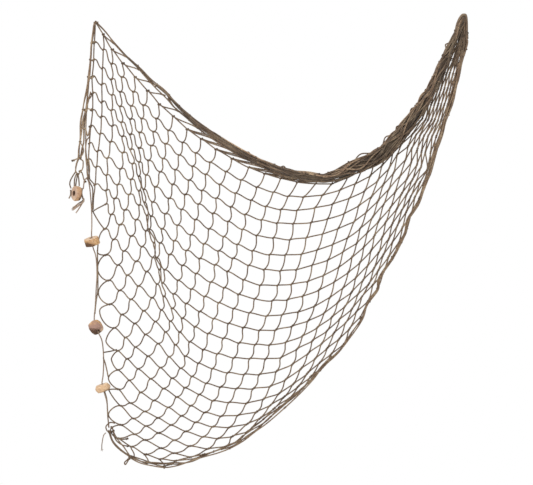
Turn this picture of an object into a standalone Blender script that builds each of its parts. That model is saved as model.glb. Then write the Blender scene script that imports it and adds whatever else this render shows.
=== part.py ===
"""A draped decorative fishing net with a float line and four cork floats.

Metres, +Z up. The origin is the right hanging point. The wall is behind the net, towards +Y,
and the net is seen from -Y. Tables and small sizes are in millimetres and turned to metres by MM.
"""
import math

import bmesh
import bpy
import numpy as np
from mathutils import Vector

MM = 0.001
COLLECTION = "fishing_net"

# Netting. A knot has a row a, counted down from the gathered top edge, and a column b, counted
# along that edge from the left hanging point. u = b - a grows to the right, v = a + b grows down.
STEP = 2                # the solid is cut at twice the real pitch of 40 mm a bar
BAR_RADIUS = 1.7
KNOT_RADIUS = 3.4
WELD = 0.01             # corners closer than this become one
CORD_BEVEL = 2          # the curves' bevel resolution, which gives round cords eight sides
STRAND_BEVEL = 0        # the same for strands that are fused into the net
KNOT_DEPTH = 2.4
HEM_V = 39              # the hem is the line a + b = HEM_V
LAST_ROW = 22           # the lowest row of knots, along the bottom left hem
SELVEDGE_U = -8         # knots on the left selvedge
GATHER_U = 28           # netting lines end inside the gathered right corner here
SWAG_COLUMN = 17        # right of this column the top row is hidden in the swag
OVERRUN = 0.04          # how far, in bars, a line of netting runs into the strand it ends on
SWAG_REACH = 2.0        # how far, in bars, the second row reaches up into the swag
# The four sides of a knot: its step in rows and columns, the two corners there, the side facing it.
KNOT_SIDES = {
    "up": (-1, 0, (0, 1), "down"), "right": (0, 1, (1, 2), "left"),
    "down": (1, 0, (3, 2), "up"), "left": (0, -1, (0, 3), "right"),
}
CORNER_SIGNS = ((-1, -1), (1, -1), (1, 1), (-1, 1))

# Drape, a row for each column b: (column b, (row a, across, down) for each knot measured on it).
DRAPE = (
    (0, (0, -883, 19), (4, -890, 190), (8, -900, 350)),
    (2, (5, -842, 269), (10, -859, 456)),
    (4, (0, -787, 151), (4, -799, 288), (8, -802, 434), (12, -857, 578)),
    (6, (6, -766, 420), (10, -770, 559), (14, -845, 696)),
    (8, (0, -662, 274), (4, -696, 408), (8, -727, 550), (10, -727, 612), (12, -746, 682), (16, -828, 806)),
    (10, (10, -694, 672), (14, -730, 792), (18, -826, 900)),
    (12, (0, -514, 367), (4, -564, 499), (8, -605, 643), (12, -655, 787), (16, -720, 898), (20, -821, 986)),
    (13, (22, -824, 1042)),
    (14, (2, -473, 461), (19, -732, 1006), (22, -792, 1066)),
    (16, (0, -353, 408), (4, -415, 540), (8, -458, 689), (12, -511, 828), (16, -583, 965), (22, -720, 1085)),
    (20, (1, -224, 389), (4, -264, 499), (8, -307, 643), (12, -362, 785), (16, -430, 919), (19, -506, 991)),
    (24, (1, -122, 274), (4, -150, 389), (8, -195, 536), (12, -243, 679), (15, -288, 794)),
    (28, (1, -46, 142), (4, -66, 257), (8, -103, 405), (11, -136, 516)),
    (32, (1, 0, 0), (4, -14, 115), (7, -42, 250)),
    (33, (6, -6, 144)),
    (34, (5, 9, 70)),
    (35, (4, 3, 0)),
)

# Where the selvedge is tied to the float line: (row a, across, down).
TIES = (
    (9, -896, 396), (10, -890, 440), (11, -888, 480), (12, -873, 572), (13, -874, 612), (14, -872, 662),
    (15, -876, 708), (16, -864, 782), (17, -860, 832), (18, -860, 874), (19, -854, 928), (20, -850, 962),
    (21, -845, 998),
)
TIE_OUT = -2.0

# The fold that stands out from the wall, down the netting beside column u = FOLD_U.
FOLD_U, FOLD_WIDTH = -1.5, 1.7
FOLD_TOP_V, FOLD_END_V, FOLD_OUT = 8.0, 34.0, 22.0
WAVE_OUT = 2.0          # how far the rest of the netting waves in and out
BEHIND = 3.5            # how far the netting hangs behind the hanging points

# Gathered bundles: (across, down, out, half width) along each centre line.
SWAG = (
    (-881, 19, 0, 3), (-842, 62, -3, 4), (-804, 103, -4, 5), (-768, 139, -5, 6), (-716, 194, -6, 8),
    (-679, 226, -7, 10), (-631, 266, -8, 12), (-583, 300, -9, 13), (-535, 331, -10, 14),
    (-487, 358, -11, 16), (-439, 377, -11, 17), (-391, 391, -12, 17), (-343, 397, -11, 15),
    (-319, 394, -11, 14), (-283, 379, -12, 16), (-247, 363, -12, 17), (-199, 338, -12, 17),
    (-170, 308, -11, 16), (-146, 281, -10, 15), (-122, 247, -9, 13), (-94, 209, -8, 12),
    (-70, 170, -8, 11), (-50, 130, -7, 11), (-34, 96, -6, 10), (-17, 55, -4, 9), (-6, 24, -2, 7),
    (0, 3, 0, 5),
)
CORNER = (
    (0, 4, 3, 5), (4, 24, 3, 7), (5, 50, 4, 9), (2, 72, 4, 11), (-6, 98, 4, 13), (-12, 118, 4, 13),
    (-17, 134, 4, 11),
)
FLAP = (
    (-884, 22, -2, 4), (-893, 110, -4, 6), (-900, 160, -5, 7), (-904, 200, -5, 8), (-910, 240, -5, 8),
    (-914, 280, -5, 8), (-920, 320, -5, 8), (-922, 350, -5, 9), (-924, 380, -5, 7), (-925, 386, -5, 4),
)
SWAG_SIDES, SWAG_FLATTEN, SWAG_RIDGE, SWAG_TWIST = 12, 0.82, 0.10, 0.35
RINGS_A_ROW = 2         # rings between two rows of a bundle's table
RINGS_A_POINT = 3       # rings between two points of a cord's route
HEM_RADIUS = 3.4
HEM_END = (-2.0, -1.0, 4.0)     # how far the hem's end goes past the last tie

# Strands that fan out from the flap's end to the fourth float: (across, down, out) points.
FAN = (
    ((-924, 376, -6), (-935, 394, -9), (-937, 409, -12)),
    ((-925, 376, -6), (-926, 394, -9), (-927, 411, -12)),
    ((-923, 376, -6), (-914, 392, -9), (-918, 409, -12)),
)
FAN_RADIUS = 1.5

# The float line, from the fourth float over the selvedge and down to the bottom left corner.
FLOAT_LINE = (
    (-910, 420, -15), (-908, 403, -12), (-904, 395, -9), (-899, 400, -7), (-895, 420, -6),
    (-893, 470, -6), (-891, 508, -11), (-889, 532, -17), (-889, 562, -15), (-884, 584, -9),
    (-880, 625, -6), (-878, 665, -6), (-881, 706, -9), (-883, 736, -16), (-878, 778, -15),
    (-871, 804, -9), (-866, 840, -6), (-865, 868, -9), (-865, 884, -15), (-864, 910, -16),
    (-860, 936, -9), (-855, 962, -6), (-850, 990, -6),
)
LINE_RADIUS = 1.5

# Cork floats: centre (across, down, out), bore direction, half width, half height, bulge.
FLOATS = {
    "float_1": ((-889, 547, -16), (0.02, -0.10, 1.0), 18.5, 11.5, 0.06),
    "float_2": ((-880, 757, -16), (-0.12, -0.06, 1.0), 17.0, 15.0, 0.22),
    "float_3": ((-864, 897, -16), (0.02, 0.06, 1.0), 18.0, 9.5, 0.10),
    "float_4": ((-928, 433, -16), (0.30, -1.0, 0.12), 15.5, 10.0, 0.12),
}
BORE_RADIUS = 3.6
FLOAT_SIDES, FLOAT_ROWS = 24, 6
EDGE_ROUNDING = 2.5

# Loose ends: (across, down, out) points.
CORNER_END = (
    (-856, 1004, -12), (-861, 1009, -12), (-864, 1020, -11), (-866, 1034, -10), (-866, 1046, -10),
)
TAIL = (
    (-908, 433, -12), (-908, 446, -12), (-914, 458, -12), (-924, 466, -12), (-934, 471, -12),
)
END_RADIUS = 1.2
TAIL_RADIUS = 2.2

MATERIALS = {
    # name: (red, green, blue, roughness)
    "net twine": (0.30, 0.24, 0.19, 0.9),
    "line twine": (0.36, 0.29, 0.23, 0.9),
    "tie twine": (0.33, 0.27, 0.21, 0.9),
    "cork": (0.62, 0.44, 0.28, 0.85),
}


def clear_scene():
    """Remove whatever the start-up file holds."""
    for item in list(bpy.data.objects):
        bpy.data.objects.remove(item, do_unlink=True)


def make_material(name):
    """A plain Principled material from the MATERIALS table."""
    red, green, blue, roughness = MATERIALS[name]
    material = bpy.data.materials.new(name)
    material.use_nodes = True
    shader = material.node_tree.nodes["Principled BSDF"]
    shader.inputs["Base Color"].default_value = (red, green, blue, 1.0)
    shader.inputs["Roughness"].default_value = roughness
    return material


def spline_kernel(squared_distance):
    """Thin plate kernel, r squared times log r squared, zero at r = 0."""
    return squared_distance * np.log(np.maximum(squared_distance, 1e-12))


def fit_drape():
    """Solve the thin plate spline that passes through every knot of the DRAPE table."""
    knots = np.array([(a, b) for b, *cells in DRAPE for a, _, _ in cells], float)
    places = np.array([(x, -down) for _, *cells in DRAPE for _, x, down in cells], float)
    count = len(knots)
    system = np.zeros((count + 3, count + 3))
    system[:count, :count] = spline_kernel(((knots[:, None] - knots[None]) ** 2).sum(-1))
    system[:count, count] = system[count, :count] = 1.0
    system[:count, count + 1:] = knots
    system[count + 1:, :count] = knots.T
    weights = np.linalg.solve(system, np.vstack([places, np.zeros((3, 2))]))
    return knots, weights


DRAPE_KNOTS, DRAPE_WEIGHTS = fit_drape()
DEPTH = np.array([0.0, 1.0, 0.0])


def smoothstep(low, high, value):
    """0 below low, 1 above high, and a smooth cubic between."""
    t = np.clip((value - low) / (high - low), 0.0, 1.0)
    return t * t * (3.0 - 2.0 * t)


def net_point(a, b):
    """Place in metres of the netting at row a, column b: the spline across and down, and the
    standing fold plus a slow wave in depth."""
    a, b = np.asarray(a, float), np.asarray(b, float)
    place = np.stack([a, b], -1)
    distance = ((place[..., None, :] - DRAPE_KNOTS) ** 2).sum(-1)
    count = len(DRAPE_KNOTS)
    flat = spline_kernel(distance) @ DRAPE_WEIGHTS[:count] + DRAPE_WEIGHTS[count]
    flat = flat + place @ DRAPE_WEIGHTS[count + 1:]
    u, v = b - a, a + b
    along = smoothstep(FOLD_TOP_V - 6, FOLD_TOP_V + 6, v) * (1 - smoothstep(FOLD_END_V - 8, FOLD_END_V, v))
    fold = FOLD_OUT * along * np.exp(-((u - FOLD_U) / FOLD_WIDTH) ** 2)
    wave = WAVE_OUT * np.sin(0.55 * u + 0.12 * v)
    return np.stack([flat[..., 0], BEHIND + wave - fold, flat[..., 1]], -1) * MM


def resample(points, rings_a_row):
    """Catmull-Rom curve through rows of numbers, with some rings added between two rows."""
    points = np.asarray(points, float)
    padded = np.vstack([2 * points[0] - points[1], points, 2 * points[-1] - points[-2]])
    rows = []
    for i in range(1, len(padded) - 2):
        before, start, end, after = padded[i - 1:i + 3]
        for k in range(rings_a_row):
            t = k / rings_a_row
            rows.append(0.5 * (2 * start + (end - before) * t
                               + (2 * before - 5 * start + 4 * end - after) * t * t
                               + (3 * start - before - 3 * end + after) * t ** 3))
    rows.append(padded[-2])
    return np.array(rows)


def ridged_tube(path, radii, sides):
    """Vertices and faces of a closed bundle along a path that never runs in depth.

    The section is a polygon of the radius there, flattened in depth; every other corner is
    lifted by SWAG_RIDGE, and the section turns by SWAG_TWIST from ring to ring.
    """
    ahead = np.gradient(path, axis=0)
    ahead /= np.linalg.norm(ahead, axis=1, keepdims=True)
    side = np.cross(ahead, DEPTH)
    side /= np.linalg.norm(side, axis=1, keepdims=True)
    out = np.cross(side, ahead)
    corner = np.arange(sides)
    angle = 2 * math.pi * corner[None, :] / sides + SWAG_TWIST * np.arange(len(path))[:, None]
    reach = radii[:, None] * (1 + SWAG_RIDGE * np.where(corner % 2 == 0, 1.0, -1.0)[None, :])
    rings = (path[:, None, :] + side[:, None, :] * (np.cos(angle) * reach)[..., None]
             + out[:, None, :] * (np.sin(angle) * reach * SWAG_FLATTEN)[..., None])
    vertices = [tuple(p) for p in rings.reshape(-1, 3)]
    faces = []
    for i in range(len(path) - 1):
        for j in range(sides):
            k = (j + 1) % sides
            faces.append((i * sides + j, (i + 1) * sides + j, (i + 1) * sides + k, i * sides + k))
    faces.append(tuple(range(sides)))
    faces.append(tuple((len(path) - 1) * sides + j for j in reversed(range(sides))))
    return vertices, faces


def add_object(name, data, material):
    """An object of the given mesh or curve with its material, in the part's collection."""
    item = bpy.data.objects.new(name, data)
    data.materials.append(material)
    bpy.data.collections[COLLECTION].objects.link(item)
    return item


def add_skin(name, vertices, faces, material):
    """A mesh object from vertices and faces, its faces turned outwards."""
    mesh = bpy.data.meshes.new(name)
    mesh.from_pydata(vertices, [], faces)
    work = bmesh.new()
    work.from_mesh(mesh)
    bmesh.ops.recalc_face_normals(work, faces=work.faces)
    work.to_mesh(mesh)
    work.free()
    return add_object(name, mesh, material)


def add_cord(name, path, radius, material, bevel=CORD_BEVEL):
    """A round cord: a poly curve through the path with a bevel and filled caps."""
    curve = bpy.data.curves.new(name, "CURVE")
    curve.dimensions = "3D"
    curve.bevel_depth = radius * MM
    curve.bevel_resolution = bevel
    curve.use_fill_caps = True
    curve.render_resolution_u = 0
    spline = curve.splines.new("POLY")
    spline.points.add(len(path) - 1)
    for point, place in zip(spline.points, path):
        point.co = (*place, 1.0)
    return add_object(name, curve, material)


def as_mesh(item):
    """Turn a bevelled curve object into a mesh object with welded caps, for a union."""
    mesh = bpy.data.meshes.new_from_object(item.evaluated_get(bpy.context.evaluated_depsgraph_get()))
    work = bmesh.new()
    work.from_mesh(mesh)
    bmesh.ops.remove_doubles(work, verts=work.verts, dist=WELD * MM)
    work.to_mesh(mesh)
    work.free()
    name, material = item.name, item.data.materials[0]
    bpy.data.objects.remove(item, do_unlink=True)
    mesh.materials.clear()
    return add_object(name, mesh, material)


def fuse(target, others):
    """Join other objects into target with exact unions, and remove them."""
    for other in others:
        modifier = target.modifiers.new("fuse", "BOOLEAN")
        modifier.operation = "UNION"
        modifier.solver = "EXACT"
        modifier.object = other
        evaluated = target.evaluated_get(bpy.context.evaluated_depsgraph_get())
        merged = bpy.data.meshes.new_from_object(evaluated)
        target.modifiers.clear()
        target.data = merged
        bpy.data.objects.remove(other, do_unlink=True)
    return target


def is_knot(a, b):
    """Whether the solid has a knot at row a, column b."""
    inside = 0 <= a < LAST_ROW and 0 <= b and a + b < HEM_V and SELVEDGE_U <= b - a <= GATHER_U
    return inside and a % STEP == 0 and b % STEP == 0 and (a > 0 or b <= SWAG_COLUMN)


def stub_reach(side, a, b):
    """How far, in bars, a knot's side without a next knot runs on to the border strand."""
    if side == "right" and b - a < GATHER_U:
        return HEM_V - a - b + OVERRUN if a else 1.0
    if side == "down" and b - a > SELVEDGE_U:
        return min(HEM_V - a - b, LAST_ROW - a) + OVERRUN
    if side == "up" and a == STEP and b < GATHER_U:
        return SWAG_REACH
    return 0.0


def unit(vector):
    """The vector at length one."""
    return vector / np.linalg.norm(vector)


def knot_corners(a, b):
    """Eight corners of a knot, front and back at each of its four corners between the bars."""
    along = unit(net_point(a, b + 0.5) - net_point(a, b - 0.5))
    down = unit(net_point(a + 0.5, b) - net_point(a - 0.5, b))
    depth = np.array([0.0, KNOT_DEPTH * MM, 0.0])
    corners = []
    for sign_along, sign_down in CORNER_SIGNS:
        corner = net_point(a, b) + unit(sign_along * along + sign_down * down) * KNOT_RADIUS * MM
        corners += [corner - depth, corner + depth]
    return corners


def bar_ring(a, b, step_a, step_b):
    """Four corners of a bar's section at a place on it: before and behind its first side, then
    before and behind its second side, in the order of a knot's side."""
    ahead = unit(net_point(a + step_a / 2, b + step_b / 2) - net_point(a - step_a / 2, b - step_b / 2))
    other = net_point(a + abs(step_b) / 2, b + abs(step_a) / 2) - net_point(a, b)
    across = unit(other - ahead * (other @ ahead)) * BAR_RADIUS * MM
    depth = np.array([0.0, BAR_RADIUS * MM, 0.0])
    centre = net_point(a, b)
    return [centre - across - depth, centre + across - depth, centre + across + depth,
            centre - across + depth]


def netting():
    """Vertices and faces of the field: every knot and its bars as one connected skin."""
    knots = [(a, b) for a in range(0, LAST_ROW, STEP) for b in range(0, HEM_V, STEP) if is_knot(a, b)]
    first = {knot: 8 * i for i, knot in enumerate(knots)}
    vertices = [corner for knot in knots for corner in knot_corners(*knot)]
    faces = []

    def side_ring(knot, side):
        one, two = KNOT_SIDES[side][2]
        start = first[knot]
        return [start + 2 * one, start + 2 * two, start + 2 * two + 1, start + 2 * one + 1]

    def add_ring(a, b, step_a, step_b):
        vertices.extend(bar_ring(a, b, step_a, step_b))
        return list(range(len(vertices) - 4, len(vertices)))

    def skin(ring, following):
        for j in range(4):
            k = (j + 1) % 4
            faces.append((ring[j], ring[k], following[k], following[j]))

    for a, b in knots:
        start = first[(a, b)]
        faces.append(tuple(start + 2 * j for j in range(4)))
        faces.append(tuple(start + 2 * j + 1 for j in reversed(range(4))))
        for side, (step_a, step_b, _, facing) in KNOT_SIDES.items():
            ring = side_ring((a, b), side)
            following = (a + STEP * step_a, b + STEP * step_b)
            if following in first:
                if side in ("right", "down"):
                    middle = add_ring(a + STEP * step_a / 2, b + STEP * step_b / 2, step_a, step_b)
                    skin(ring, middle)
                    skin(middle, side_ring(following, facing))
                continue
            reach = stub_reach(side, a, b)
            if reach:
                end = add_ring(a + reach * step_a, b + reach * step_b, step_a, step_b)
                skin(ring, end)
                ring = end
            faces.append(tuple(ring))
    return [tuple(v) for v in vertices], faces


def tie_point(row):
    """Where the selvedge is tied beside the float line, in metres."""
    _, across, down = TIES[row - TIES[0][0]]
    return np.array([across, TIE_OUT, -down]) * MM


def hem_path():
    """The hem, from the gathered corner along a + b = HEM_V and the last row to the last tie."""
    u = np.arange(GATHER_U, HEM_V - 2 * LAST_ROW, -1.0)
    slanting = net_point((HEM_V - u) / 2, (HEM_V + u) / 2)
    bottom_b = np.arange(HEM_V - LAST_ROW, LAST_ROW + SELVEDGE_U - 1.5, -1.0)
    bottom = net_point(np.full(len(bottom_b), LAST_ROW), bottom_b)
    return np.vstack([slanting, bottom, tie_point(TIES[-1][0]) + np.array(HEM_END) * MM])


def selvedge_path():
    """The left selvedge below column 0: a zigzag between the selvedge knots and the ties on the
    float line, down to the last tie and round to the hem."""
    points = [net_point(-SELVEDGE_U, 0)]
    for row, _, _ in TIES:
        points += [tie_point(row), net_point(row, row + SELVEDGE_U)]
    points.append(net_point(LAST_ROW, LAST_ROW + SELVEDGE_U - 1))
    return np.array(points)


def bundle(table, sides=SWAG_SIDES):
    """A gathered bundle along a table of (across, down, out, half width)."""
    rows = resample(table, RINGS_A_ROW)
    path = np.stack([rows[:, 0], rows[:, 2], -rows[:, 1]], -1) * MM
    return ridged_tube(path, rows[:, 3] * MM, sides)


def route(points):
    """Smooth path in metres through (across, down, out) points."""
    rows = resample(points, RINGS_A_POINT)
    return np.stack([rows[:, 0], rows[:, 2], -rows[:, 1]], -1) * MM


def add_strand(name, path, radius, material):
    """A cord that is fused into the net, as a mesh with few sides."""
    return as_mesh(add_cord(name, path, radius, material, STRAND_BEVEL))


def build_net(material):
    """The knotted panel with its swag, flap, corner and hem, fused into one body."""
    net = add_skin("net", *netting(), material)
    borders = [
        add_strand("hem", hem_path(), HEM_RADIUS, material),
        add_strand("selvedge", selvedge_path(), BAR_RADIUS, material),
        add_skin("swag", *bundle(SWAG), material),
        add_skin("corner", *bundle(CORNER), material),
        add_skin("flap", *bundle(FLAP, sides=8), material),
    ]
    borders += [add_strand("fan", route(points), FAN_RADIUS, material) for points in FAN]
    return fuse(net, borders)


def float_profile(half_width, half_height, bulge):
    """Closed profile (radius, height) of a bored cork in millimetres: down the bulging side from
    the upper rounded edge, across the lower end and up the bore."""
    rim = half_width - EDGE_ROUNDING
    shoulder = half_height - EDGE_ROUNDING
    heights = [shoulder * (1 - 2 * k / FLOAT_ROWS) for k in range(FLOAT_ROWS + 1)]
    side = [(half_width * (1 - bulge * (h / shoulder) ** 2), h) for h in heights]
    return [(rim, half_height), *side, (rim, -half_height), (BORE_RADIUS, -half_height),
            (BORE_RADIUS, half_height)]


def build_float(name, material):
    """A bored cork: a closed profile turned about the bore by a Screw modifier."""
    centre, axis, half_width, half_height, bulge = FLOATS[name]
    profile = float_profile(half_width, half_height, bulge)
    count = len(profile)
    mesh = bpy.data.meshes.new(name)
    mesh.from_pydata([(radius * MM, 0.0, height * MM) for radius, height in profile],
                     [(i, (i + 1) % count) for i in range(count)], [])
    item = add_object(name, mesh, material)
    item.location = (centre[0] * MM, centre[2] * MM, -centre[1] * MM)
    item.rotation_euler = Vector(axis).to_track_quat("Z", "Y").to_euler()
    screw = item.modifiers.new("turn", "SCREW")
    screw.steps = screw.render_steps = FLOAT_SIDES
    screw.use_merge_vertices = True
    screw.merge_threshold = WELD * MM
    return item


def main():
    """Build every piece of the net."""
    clear_scene()
    collection = bpy.data.collections.new(COLLECTION)
    bpy.context.scene.collection.children.link(collection)
    materials = {name: make_material(name) for name in MATERIALS}
    build_net(materials["net twine"])
    add_cord("float_line", route(FLOAT_LINE), LINE_RADIUS, materials["line twine"])
    for name in FLOATS:
        build_float(name, materials["cork"])
    add_cord("corner_end", route(CORNER_END), END_RADIUS, materials["tie twine"])
    add_cord("float_tail", route(TAIL), TAIL_RADIUS, materials["tie twine"])


main()
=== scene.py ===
"""Looks of the draped fishing net: cotton twine, its knots, the gathered swag and the corks.

Metres, +Z up. The origin is the right hanging point and the net is seen from -Y. Tables and small
sizes are in millimetres and turned to metres by MM.
"""
import math

import bpy
import numpy as np
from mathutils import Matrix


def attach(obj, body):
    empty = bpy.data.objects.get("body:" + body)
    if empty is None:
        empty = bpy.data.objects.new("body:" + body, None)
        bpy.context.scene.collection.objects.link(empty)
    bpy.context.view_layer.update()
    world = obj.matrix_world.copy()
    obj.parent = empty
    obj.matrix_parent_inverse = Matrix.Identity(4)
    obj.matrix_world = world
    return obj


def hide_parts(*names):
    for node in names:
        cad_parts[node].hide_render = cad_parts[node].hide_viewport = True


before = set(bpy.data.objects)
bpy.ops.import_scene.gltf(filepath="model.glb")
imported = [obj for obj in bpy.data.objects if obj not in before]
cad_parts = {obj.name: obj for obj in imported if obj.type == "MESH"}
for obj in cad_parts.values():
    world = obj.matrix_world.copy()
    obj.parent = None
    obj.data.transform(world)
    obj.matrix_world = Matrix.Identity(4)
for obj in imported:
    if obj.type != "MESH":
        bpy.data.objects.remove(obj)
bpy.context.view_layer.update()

MM = 0.001
SEED = 7
UP = np.array([0.0, 0.0, 1.0])
DEPTH = np.array([0.0, 1.0, 0.0])

# Netting. A knot has a row a, counted down from the gathered top edge, and a column b, counted
# along that edge from the left hanging point. u = b - a grows to the right, v = a + b grows down.
TWINE_RADIUS = 1.6
HEM_V = 39              # the hem is the line a + b = HEM_V
LAST_ROW = 22           # the lowest row of knots, along the bottom left hem
SELVEDGE_U = -8         # knots on the left selvedge
APEX_U = 30             # the last knots before the right hanging point
FIRST_ROW = -1          # one row above the top one shows beside the swag, from u to u
FIRST_ROW_U = (22, 25)
BAR_STEPS, KNOT_STEPS = 10, 11
SPAN_STEPS = 8          # places that a curve has from one row of its table to the next
KNOT_LENGTH, KNOT_WIDTH, KNOT_DEPTH = 3.0, 1.5, 1.5     # half sizes of a knot's centre line
LAY_PITCH, PLIES = 9.0, 3       # a ply goes once round the twine in this length

# How the netting hangs. A row says between which u, v or b a number changes, from what to what.
JITTER, GRID = 1.0, 64  # how far off its place a knot is tied, drawn for so many rows and columns
JITTER_U = (12, 22, 1.0, 0.4)
UNEVEN = np.array([0.07, 0.10, 0.07])   # how much the ends of the bars turn at random
ROW_SLACK_U, ROW_SLACK_V = (0, 18, 1.17, 0.22), (10, 24, 1.0, 0.3)
ROW_LIFT_U, ROW_LIFT_V = (-2, 9, 0.45, 0.0), (14, 24, 1.0, 0.4)
ROW_LEAVE_U = (4, 12, 1.0, 0.7)
TOP_ROW_SLACK = 0.1
COLUMN_SLACK_U, COLUMN_SLACK_V = (2, 20, 1.07, 0.22), (10, 24, 1.0, 1.35)
COLUMN_SLACK_B = (0.2, 3.2, 0.0, 1.0)
COLUMN_LEAVE_U, COLUMN_ARRIVE_U = (4, 12, 0.45, 0.15), (4, 12, 1.0, 1.4)

# Drape, a row for each column b: (column b, (row a, across, down) for each knot measured on it).
DRAPE = (
    (0, (0, -883, 19), (1, -886, 70), (4, -890, 190), (8, -900, 350)),
    (1, (1, -864, 86), (9, -883, 408)),
    (2, (0, -842, 84), (5, -842, 269), (7, -852, 346), (10, -859, 456)),
    (3, (10, -845, 480)),
    (4, (0, -787, 151), (4, -799, 288), (6, -790, 360), (8, -802, 434), (12, -857, 578)),
    (5, (12, -828, 602)),
    (6, (6, -766, 420), (8, -756, 485), (10, -770, 559), (14, -845, 696)),
    (7, (8, -751, 518), (9, -742, 550), (12, -780, 653)),
    (8, (0, -662, 274), (4, -696, 408), (8, -727, 550), (9, -734, 583), (10, -727, 612),
     (12, -746, 682), (16, -828, 806)),
    (9, (10, -720, 646), (15, -787, 799)),
    (10, (10, -694, 672), (14, -730, 792), (18, -826, 900)),
    (11, (2, -583, 408), (18, -797, 934), (19, -823, 941)),
    (12, (0, -514, 367), (4, -564, 499), (8, -605, 643), (12, -655, 787), (14, -677, 850),
     (16, -720, 898), (20, -821, 986)),
    (13, (7, -564, 619), (17, -706, 946), (20, -790, 1008), (21, -828, 1018), (22, -824, 1042)),
    (14, (2, -473, 461), (6, -516, 605), (10, -564, 742), (19, -732, 1006), (21, -797, 1037),
     (22, -792, 1066)),
    (15, (20, -727, 1042), (21, -763, 1056)),
    (16, (0, -353, 408), (1, -382, 439), (4, -415, 540), (8, -458, 689), (12, -511, 828),
     (16, -583, 965), (21, -727, 1070), (22, -720, 1085)),
    (17, (0, -314, 408), (11, -463, 794), (20, -653, 1063), (21, -689, 1075), (22, -698, 1081)),
    (18, (1, -295, 422), (7, -374, 641), (17, -518, 984), (18, -552, 1015), (19, -571, 1039),
     (20, -622, 1058), (21, -641, 1067)),
    (19, (14, -425, 878), (18, -516, 1001), (19, -540, 1027), (20, -578, 1044)),
    (20, (1, -224, 389), (4, -264, 499), (8, -307, 643), (12, -362, 785), (13, -372, 814),
     (16, -430, 919), (19, -506, 991)),
    (21, (18, -442, 944)),
    (22, (2, -178, 372), (14, -324, 802), (17, -384, 899)),
    (23, (2, -157, 338), (6, -203, 496), (16, -335, 847)),
    (24, (1, -122, 274), (2, -126, 312), (4, -150, 389), (8, -195, 536), (11, -226, 647),
     (12, -243, 679), (15, -288, 794)),
    (26, (3, -102, 290), (4, -103, 323)),
    (27, (3, -75, 254), (4, -93, 287), (5, -93, 330), (7, -112, 401)),
    (28, (1, -46, 142), (4, -66, 257), (5, -83, 295), (7, -85, 372), (8, -103, 405),
     (11, -134, 516)),
    (29, (6, -73, 297), (10, -104, 442)),
    (30, (7, -60, 295), (9, -75, 367)),
    (31, (8, -55, 293)),
    (33, (6, -11, 145)),
)

# The gathered right corner, a row for each line of knots across it: (u, across and down at its left
# end, where v = CURTAIN_V, and across and down at the hem).
CURTAIN = (
    (22, -122, 326, -66, 332), (23, -102, 290, -55, 295), (24, -79, 254, -41, 257),
    (25, -68, 217, -29, 218), (26, -56, 180, -19, 180), (27, -46, 143, -11, 145),
    (28, -32, 108, -4, 110), (29, -17, 72, 8, 72), (30, -6, 37, 9, 38), (31, 1, 5, 4, 5),
)
CURTAIN_V = 29
CURTAIN_FROM = (21.0, 23.0)     # the u between which the netting turns into it

# A bar of the top row ends on the swag's lower side, where that is nearest to the place this far
# (across, out, up) from the next knot of that row.
JOIN_SHIFT = (6.0, -4.0, 14.0)
JOIN_STRETCH = (5, 8, 0.0, 36.0)        # from column to column, they end further along the swag
JOIN_HEIGHT = 0.7       # how far down the swag's side they end, as a share of its half width
JOIN_COLUMNS = 16
DOUBLED_FROM = 8        # from this column on, two strands go to the swag
JOIN_SPACING = 1.1      # half the way between the two

# Where the selvedge's loops meet the float line: (row a, across, down, how round the loop is).
TIES = (
    (9, -896, 396, 0.1), (11, -888, 474, 0.2), (12, -877, 572, 0.8), (13, -877, 611, 1.0),
    (14, -875, 669, 1.0), (15, -872, 713, 1.0), (16, -857, 785, 0.7), (17, -844, 828, 0.6),
    (18, -851, 874, 0.8), (19, -850, 902, 0.3), (20, -851, 961, 0.8), (21, -846, 998, 0.8),
)
TIE_OUT = -2.0

# The fold that stands out to the front, down the netting beside the line u = FOLD_U.
FOLD_U, FOLD_WIDTH, FOLD_OUT = -1.5, 1.7, 22.0
FOLD_STARTS, FOLD_ENDS = (2.0, 14.0), (26.0, 34.0)      # from v to v
WAVE_OUT, WAVE_U, WAVE_V = 2.0, 0.55, 0.12      # how the rest of the netting waves in and out
BEHIND = 3.5            # how far the netting hangs behind the hanging points

# Gathered bundles: (across, down, out, half width) along each centre line.
SWAG = (
    (-881, 19, -1, 2.0), (-860, 41, -2, 2.0), (-839, 67, -3, 2.2), (-807, 102, -4, 2.8),
    (-776, 131, -5, 3.8), (-751, 157, -6, 5.0), (-717, 188.5, -6, 6.6), (-688, 220.5, -7, 7.6),
    (-661, 245, -7.5, 8.3), (-632, 269, -8, 8.8), (-584, 302, -9, 9), (-536, 332.5, -10, 9.4),
    (-488, 357, -11, 10), (-440, 376, -11, 10.5), (-391, 387.5, -11, 11.8), (-343, 394, -11, 11.5),
    (-320, 391, -11, 13), (-296, 384, -11, 15), (-272, 374, -12, 17), (-248, 364, -12, 18),
    (-201, 338, -12, 18), (-177, 314, -12, 17), (-151, 288, -11, 16), (-124, 253, -10, 15),
    (-101, 222, -9, 14), (-91, 204.5, -8.5, 14.2), (-78, 187, -8, 12), (-58.5, 144.5, -8, 13.2),
    (-44, 111, -7, 11.8), (-34, 85, -6, 10.5), (-20, 57, -5, 9.5), (-8, 32, -4, 8), (-1, 19, -3, 7),
    (2, 8, -2, 4.5),
)
SWAG_STEPS = 220
# Strands on the swag's surface, by the share of its length: (share, how many).
SWAG_COUNTS = (
    (0.0, 1.5), (0.08, 3), (0.15, 4), (0.25, 9), (0.43, 15), (0.55, 19), (0.65, 28), (1.0, 32),
)
SWAG_THROUGH = 12       # this many run through to the right hanging point
SWAG_WAVES, GOLDEN = 30, 0.618  # how often they sway, and the turn from one to the next
SWAG_KNOT_GAP = 0.075   # metres from knot to knot
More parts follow.
